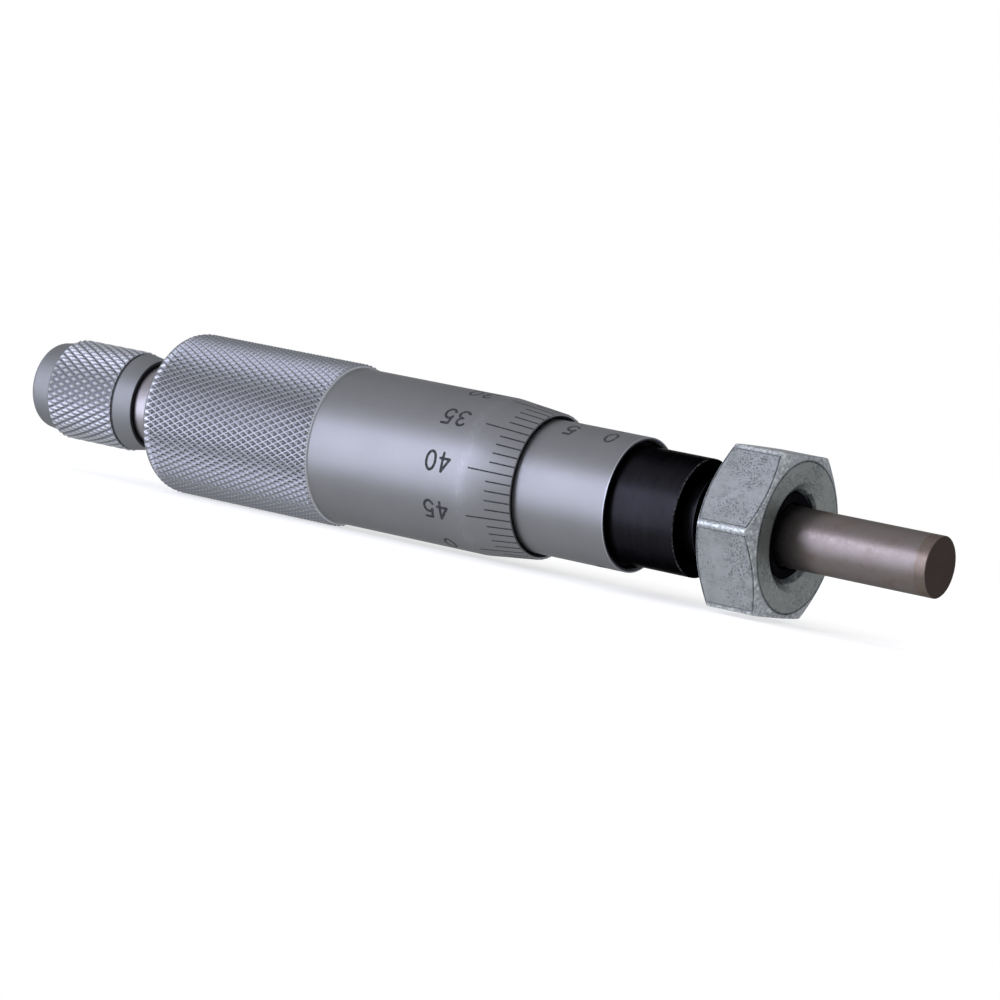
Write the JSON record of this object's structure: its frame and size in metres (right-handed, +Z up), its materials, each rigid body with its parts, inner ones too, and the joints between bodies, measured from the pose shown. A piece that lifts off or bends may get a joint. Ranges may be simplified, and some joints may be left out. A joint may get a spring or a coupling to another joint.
{
  "type": "micrometer head",
  "caption": "Micrometer head with a screw-driven round spindle, graduated sleeve and thimble, ratchet stop and hexagon clamping nut.",
  "frame": {"origin": "on the spindle axis, in the plane of the stem's shoulder against which a fixture is clamped", "axes": "+X along the spindle towards the measuring face; +Z up with the head lying down; one flat of the clamping nut faces -Z"},
  "size_m": [0.1156, 0.0196, 0.018],
  "materials": {
    "black_oxide": "steel with a satin black oxide finish",
    "satin_chrome": "steel, satin chrome plated",
    "zinc_plate": "steel, zinc plated, stained",
    "ground_steel": "hardened steel, ground",
    "carbide": "tungsten carbide, lapped",
    "bright_steel": "steel, turned bright",
    "plain_steel": "steel, as machined",
    "spring_steel": "spring steel wire"
  },
  "bodies": {
    "stem": {"stem": "black_oxide", "adjusting_nut": "plain_steel"},
    "sleeve": {"sleeve": "satin_chrome"},
    "clamp_nut": {"clamp_nut": "zinc_plate"},
    "spindle": {"spindle": "ground_steel", "carbide_tip": "carbide"},
    "thimble": {"thimble": "satin_chrome", "ratchet_shaft": "bright_steel", "ratchet_spring": "spring_steel", "sliding_ratchet": "plain_steel", "knob_screw": "plain_steel"},
    "knob": {"ratchet_knob": "satin_chrome", "fixed_ratchet": "plain_steel"}
  },
  "joints": [
    {"name": "spindle_travel", "type": "slide", "parent": "stem", "child": "spindle", "axis": [1, 0, 0], "range_m": [-0.01673, 0.00827]},
    {"name": "thimble_turn", "type": "hinge", "parent": "spindle", "child": "thimble", "pos_m": [0, 0, 0], "axis": [1, 0, 0], "range_deg": [-12049.2, 5958]},
    {"name": "ratchet_turn", "type": "hinge", "parent": "thimble", "child": "knob", "pos_m": [-0.08, 0, 0], "axis": [1, 0, 0], "continuous": true},
    {"name": "sleeve_zero", "type": "hinge", "parent": "stem", "child": "sleeve", "pos_m": [-0.02, 0, 0], "axis": [1, 0, 0], "range_deg": [-15, 15]},
    {"name": "clamp_nut_travel", "type": "slide", "parent": "stem", "child": "clamp_nut", "axis": [1, 0, 0], "range_m": [-0.003, 0.025]}
  ],
  "couplings": [
    {"joint": "thimble_turn", "follows": "spindle_travel", "rad_per_m": 12566}
  ]
}
